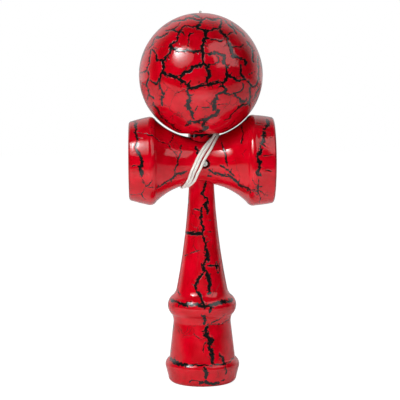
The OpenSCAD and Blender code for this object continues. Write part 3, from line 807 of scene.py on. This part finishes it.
# Where the string begins to bend up in its hole, and how far the ends of the winding swing out
HOLE_BEND_Y, HOLE_SWING, RISER_SWING, SWING_POINTS = 8, 2.8, 3.6, 6
RISER_START, RISER_WAY = np.array([-7, 13, 108]), unit(np.array([0.1, 0.45, 0.9]))
RISER = [
    (-5.5, 18.5, 120.5), (-4.5, 23.5, 130), (-3.5, 27.8, 138), (-2.5, 30.8, 146), (-1.5, 31.5, 154),
    (-0.8, 30.2, 162), (-0.4, 27.2, 169), (-0.2, 23, 174.5), (0, 17.5, 179), (0, 11.5, 182.2),
    (0, 7, 183.4), (0, 5.3, 183.72), (0, 3.7, 183.86), (0, 2.3, 183.55), (0, 1.15, 182.7),
    (0, 0.47, 181.45), (0, 0.25, 180), (0, 0.1, 178), (0, 0, 175), (0, 0, BEAD_Z + KNOT_LEN),
]
# Spacing of the points along the string and along a knot, and the form of the plies as shares of the radius
PATH_STEP, KNOT_STEP = 0.3, 0.15
PLY_FOOT, PLY_H = 0.9, 0.12
# Knots: turns and points per millimetre, where the coil begins and ends, and the pitch of their plies
KNOT_TURNS, KNOT_POINTS, KNOT_GAP = 0.63, 13, 0.1
CORE_END, COIL_END, COIL_START, KNOT_PITCH = 0.7, 0.6, 0.7, 5.0
# Each knot's length, tail, radius of its coil and radius of the string in it
HANDLE_KNOT, BEAD_KNOT = (4.6, 4.3, 0.8, 0.56), (KNOT_LEN, 2.6, 1.05, 0.62)


def ease_01(t):
    t = min(1, max(0, t))
    return t * t * (3 - 2 * t)


def lane(a):
    return 1 - a // 360 - ease_01((a % 360 - LANE_FROM) / LANE_SPAN)


ROUTE_A, ROUTE_X = np.array([(a + turn, x) for turn in (-360, 0, 360) for a, x in ROUTE]).T
ROUTE_SLOPE = np.gradient(ROUTE_X, ROUTE_A)


def middle_x(a):
    """The middle turn's place along X: a smooth curve through ROUTE."""
    a %= 360
    i = int(np.searchsorted(ROUTE_A, a, side="right")) - 1
    span = ROUTE_A[i + 1] - ROUTE_A[i]
    t = (a - ROUTE_A[i]) / span
    ends = (1 + 2 * t) * (1 - t) ** 2 * ROUTE_X[i] + t * t * (3 - 2 * t) * ROUTE_X[i + 1]
    return ends + span * (t * (1 - t) ** 2 * ROUTE_SLOPE[i] - t * t * (1 - t) * ROUTE_SLOPE[i + 1])


def crowd(a):
    return ease_01(1 - abs(a - 360 * round(a / 360)) / CROWD_SPAN)


def waist_at(x):
    flanks = np.concatenate([SMALL_FLANK, BIG_FLANK])
    return float(np.interp(x, flanks[:, 1], flanks[:, 0]))


def wrap(a):
    """The string's middle at an angle: the middle lane rides over its neighbours beside the spike."""
    u, c = lane(a), crowd(a)
    wide = LANE_W + LANE_SPREAD * max(0, u) * max(0, math.sin(math.radians(a)))
    slant = (middle_x(a + 1) - middle_x(a - 1)) / (math.radians(2) * WAIST_R)
    x = middle_x(a) + u * (wide + (TOP_LANE_W - wide) * c) * math.hypot(1, slant)
    lift = STACK_H * (1 - (1 - c) ** 2) * max(0, 1 - u * u)
    lean = math.hypot(1, (waist_at(x + STRING_R) - waist_at(x - STRING_R)) / (2 * STRING_R))
    r = waist_at(x) + (LAY_GAP + STRING_R) * lean + lift
    return np.array([x, -r * math.sin(math.radians(a)), CROSS_Z + r * math.cos(math.radians(a))])


def wrap_way(a):
    return unit(wrap(a + 1) - wrap(a - 1))


def eased(p, p_way, q, q_way, reach, count):
    """A smooth curve from p to q, leaving along p_way and arriving along q_way, without its ends."""
    b, c = p + p_way * reach, q - q_way * reach
    t = np.linspace(0, 1, count + 1)[1:-1, None]
    return (1 - t) ** 3 * p + 3 * (1 - t) ** 2 * t * b + 3 * (1 - t) * t**2 * c + t**3 * q


def rounded(points, spacing):
    """A smooth curve through the points, sampled at an even spacing."""
    p = np.array(points, float)
    p = np.concatenate([[2 * p[0] - p[1]], p, [2 * p[-1] - p[-2]]])
    t = np.linspace(0, 1, 24, endpoint=False)[:, None]
    fine = []
    for a, b, c, d in zip(p, p[1:], p[2:], p[3:]):
        # Overhauser spline with its tangents cut to the shorter neighbour, so that it doesn't swing out
        m = unit(c - a) * min(np.linalg.norm(b - a), np.linalg.norm(c - b))
        n = unit(d - b) * min(np.linalg.norm(c - b), np.linalg.norm(d - c))
        ends = (2 * t**3 - 3 * t**2 + 1) * b + (3 * t**2 - 2 * t**3) * c
        fine.append(ends + (t**3 - 2 * t**2 + t) * m + (t**3 - t**2) * n)
    fine = np.concatenate(fine + [p[-2:-1]])
    run = np.concatenate([[0], np.cumsum(np.linalg.norm(np.diff(fine, axis=0), axis=1))])
    at = np.linspace(0, run[-1], round(run[-1] / spacing) + 1)
    return np.stack([np.interp(at, run, fine[:, k]) for k in range(3)], 1)


def string_path():
    knot_back = -math.sqrt(seat_r(HOLE_Z) ** 2 - HOLE_X**2) - LAY_GAP
    hole_out, hole_way = np.array([HOLE_X, HOLE_BEND_Y, HOLE_Z]), np.array([0, 1, 0])
    before_riser = RISER_START - 2 * STRING_R * RISER_WAY
    return np.concatenate([
        [[HOLE_X, knot_back, HOLE_Z], [HOLE_X, 0, HOLE_Z], hole_out],
        eased(hole_out, hole_way, wrap(WRAP_START), wrap_way(WRAP_START), HOLE_SWING, SWING_POINTS),
        [wrap(a) for a in range(WRAP_START, WRAP_END, WRAP_STEP)],
        eased(wrap(WRAP_END), wrap_way(WRAP_END), before_riser, RISER_WAY, RISER_SWING, SWING_POINTS),
        [before_riser, RISER_START, RISER_START + 2 * STRING_R * RISER_WAY],
        RISER,
    ])


def twisted_cord(name, path, radius, plies=4, pitch=13.0, sides=24):
    """A tube along a path with the plies of a twisted cord, and their height as an attribute."""
    way = np.gradient(path, axis=0)
    way /= np.linalg.norm(way, axis=1)[:, None]
    run = np.concatenate([[0], np.cumsum(np.linalg.norm(np.diff(path, axis=0), axis=1))])
    # Any vector will do that isn't along the start of the path
    normal = unit(np.cross(way[0], [0.3, 0.2, 0.9]))
    angle = np.linspace(0, 2 * math.pi, sides, endpoint=False)
    points, heights = [], []
    for p, w, s in zip(path, way, run):
        normal = unit(normal - w * np.dot(normal, w))
        ply = np.abs(np.cos(plies / 2 * (angle - 2 * math.pi * s / pitch)))
        r = radius * (PLY_FOOT + PLY_H * ply)
        around = np.outer(np.cos(angle), normal) + np.outer(np.sin(angle), np.cross(w, normal))
        points.append(p + r[:, None] * around)
        heights.append(ply)
    last = (len(path) - 1) * sides
    after = [(j, (j + 1) % sides) for j in range(sides)]
    faces = [(i + j, i + k, i + sides + k, i + sides + j) for i in range(0, last, sides) for j, k in after]
    faces += [tuple(range(sides))[::-1], tuple(range(last, last + sides))]
    piece = mesh_object(name, np.concatenate(points), faces)
    attribute = piece.data.attributes.new("ply", "FLOAT", "POINT")
    attribute.data.foreach_set("value", np.concatenate(heights).astype(np.float32))
    piece.data.shade_smooth()
    return piece


def tied_knot(name, end, way, length, tail_len, wide, radius):
    """A stop knot: the string runs on, turns back and is wound round itself, and its tail sticks out."""
    way, side = np.array(way, float), np.array([1.0, 0, 0])
    start, up = end + KNOT_GAP * way, np.cross(way, side)
    core = [start + way * t for t in np.linspace(0, length - CORE_END, 5)]
    turn = np.linspace(0, KNOT_TURNS * length * 2 * math.pi, round(KNOT_POINTS * length))
    depth = np.interp(turn, [0, turn[-1]], [length - COIL_END, COIL_START])
    around = np.outer(np.cos(turn), side) + np.outer(np.sin(turn), up)
    coil = start + np.outer(depth, way) + wide * around
    run_out, swing = tail_len * np.array([0.3, 0.65, 1]), wide * np.array([0.4, 0.9, 1])
    tail = coil[-1] + np.outer(run_out, way) - np.outer(swing, side)
    knot_path = rounded(np.concatenate([core, coil, tail]), KNOT_STEP)
    return twisted_cord(name, knot_path, radius, pitch=KNOT_PITCH, sides=16)


# Stage


def make_floor():
    """A white table that the camera sees blown out, with a faint shadow of the toy on it."""
    half, front, back = 1.5, -0.3, 2.0
    corners = [(-half, front, 0), (half, front, 0), (half, back, 0), (-half, back, 0)]
    mesh = bpy.data.meshes.new("floor")
    mesh.from_pydata(corners, [], [(0, 1, 2, 3)])
    floor = bpy.data.objects.new("floor", mesh)
    bpy.context.scene.collection.objects.link(floor)
    material = bpy.data.materials.new("white_sweep")
    material.use_nodes = True
    tree = material.node_tree
    tree.nodes.clear()
    new, join = tree.nodes.new, tree.links.new
    light_path, glow = new("ShaderNodeLightPath"), new("ShaderNodeEmission")
    bounce, shadow = new("ShaderNodeBsdfDiffuse"), new("ShaderNodeBsdfDiffuse")
    seen, choose = new("ShaderNodeAddShader"), new("ShaderNodeMixShader")
    out = new("ShaderNodeOutputMaterial")
    bounce.inputs["Color"].default_value = (0.85, 0.85, 0.85, 1)
    shadow.inputs["Color"].default_value = (0.25, 0.25, 0.25, 1)
    glow.inputs["Strength"].default_value = 0.955
    join(shadow.outputs[0], seen.inputs[0])
    join(glow.outputs[0], seen.inputs[1])
    join(light_path.outputs["Is Camera Ray"], choose.inputs[0])
    join(bounce.outputs[0], choose.inputs[1])
    join(seen.outputs[0], choose.inputs[2])
    join(choose.outputs[0], out.inputs["Surface"])
    mesh.materials.append(material)


LAMP_DISTANCE, STEM_AIM_Z = 0.9, 30
# The key is an umbrella, brightest near its upper edge: discs inside each other, drawn towards KEY_FADE by
# KEY_DRAW of their size. Each disc is (size, radiance).
KEY_WAY, KEY_FADE = Vector((-0.65, -0.42, 0.67)), Vector((0.353, -0.832, -0.427))
KEY_DRAW = 0.45
KEY_DISCS = [(0.16, 13), (0.25, 9), (0.34, 4.2), (0.44, 2.2), (0.54, 0.9), (0.64, 1.4)]
# The wall's brightness over the Y of its direction, as (from, to, brightness at from, brightness at to): it
# rises from beside the toy to behind it, and is less bright again straight behind it
WALL_RISE, WALL_FADE = (0.15, 0.75, 0.01, 0.94), (0.8, 1.0, 1, 0.6)


def lamp(name, way, distance, size, radiance, shape="DISK", aim_z=BALL_Z):
    """A lamp that faces a height on the toy's axis from a direction, as bright as radiance all over."""
    data = bpy.data.lights.new(name, "AREA")
    data.shape, data.size = shape, size
    data.energy = radiance * math.pi * size**2 * (math.pi / 4 if shape == "DISK" else 1)
    made = bpy.data.objects.new(name, data)
    bpy.context.scene.collection.objects.link(made)
    way = Vector(way).normalized()
    made.location = Vector((0, 0, aim_z * MM)) + way * distance
    made.rotation_mode = "QUATERNION"
    made.rotation_quaternion = way.to_track_quat("Z", "Y")
    made.visible_camera = False
    return made


def make_world():
    """A white backdrop behind the toy and a dark room in front of it; the camera sees white everywhere."""
    world = bpy.data.worlds.new("studio")
    bpy.context.scene.world = world
    world.use_nodes = True
    tree = world.node_tree
    new, join = tree.nodes.new, tree.links.new
    coords, split = new("ShaderNodeTexCoord"), new("ShaderNodeSeparateXYZ")
    light_path, wall, either = new("ShaderNodeLightPath"), new("ShaderNodeMath"), new("ShaderNodeMath")
    join(coords.outputs["Generated"], split.inputs[0])
    for k, ramp in enumerate((WALL_RISE, WALL_FADE)):
        part = new("ShaderNodeMapRange")
        part.interpolation_type = "SMOOTHSTEP"
        for socket, value in zip(("From Min", "From Max", "To Min", "To Max"), ramp):
            part.inputs[socket].default_value = value
        join(split.outputs["Y"], part.inputs["Value"])
        join(part.outputs[0], wall.inputs[k])
    wall.operation, either.operation = "MULTIPLY", "MAXIMUM"
    join(wall.outputs[0], either.inputs[0])
    join(light_path.outputs["Is Camera Ray"], either.inputs[1])
    background = tree.nodes["Background"]
    background.inputs["Color"].default_value = (1, 1, 1, 1)
    join(either.outputs[0], background.inputs["Strength"])


def make_camera():
    data = bpy.data.cameras.new("camera")
    data.sensor_width, data.lens = SENSOR_W, LENS
    camera = bpy.data.objects.new("camera", data)
    bpy.context.scene.collection.objects.link(camera)
    place = Vector(camera_place() * MM)
    camera.location = place
    camera.rotation_mode = "QUATERNION"
    look = (Vector(CAMERA_AIM * MM) - place).to_track_quat("-Z", "Y")
    camera.rotation_quaternion = look @ Matrix.Rotation(math.radians(CAMERA_ROLL), 3, "Z").to_quaternion()
    bpy.context.scene.camera = camera


def make_lamps():
    for disc, (size, radiance) in enumerate(KEY_DISCS):
        key = lamp("key_%d" % disc, KEY_WAY + KEY_FADE * KEY_DRAW * size, LAMP_DISTANCE, size, radiance)
    # The outermost disc is only seen as a reflection
    key.visible_diffuse = False
    # The fill is only seen as a reflection too, on the dark right side
    lamp("fill", (0.615, -0.524, 0.587), LAMP_DISTANCE, 0.75, 1.8, "SQUARE").visible_diffuse = False
    # Light thrown back from the white table in front, too spread out to be seen as a reflection
    lamp("table_light", (-0.12, -0.99, -0.06), 0.22, 0.25, 3.05, aim_z=STEM_AIM_Z).visible_glossy = False
    # Light from the wall and the ceiling onto the upper right and the side that the photograph hides
    lamp("wall_light", (0.5, 0.35, 0.79), LAMP_DISTANCE, 0.9, 1.5).visible_glossy = False


bpy.context.scene.view_settings.view_transform = "Standard"
make_camera()
make_world()
make_floor()
make_lamps()

for make, node, body in (
    (make_ball, "ball", "ball"),
    (make_handle, "spike_handle", "handle"),
    (make_cross_cup, "cross_cup", "handle"),
):
    piece = make()
    piece.data.materials.clear()
    piece.data.materials.append(crackle_lacquer("crackle_" + node))
    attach(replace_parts(piece, node), body)

cotton = cord_cotton()
path = rounded(string_path(), PATH_STEP)
string = twisted_cord("string", path, STRING_R)
handle_knot = tied_knot("handle_knot_tied", path[0], [0, -1, 0], *HANDLE_KNOT)
bead_knot = tied_knot("bead_knot_tied", path[-1], [0, 0, -1], *BEAD_KNOT)
for piece in (string, handle_knot, bead_knot):
    piece.data.materials.append(cotton)
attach(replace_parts(handle_knot, "handle_knot"), "handle")
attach(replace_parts(bead_knot, "bead_knot"), "string_end")
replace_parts(string, "string_winding", "string_riser")
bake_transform(string)
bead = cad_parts["bead"]
bead.data.materials.clear()
bead.data.materials.append(bead_wood())
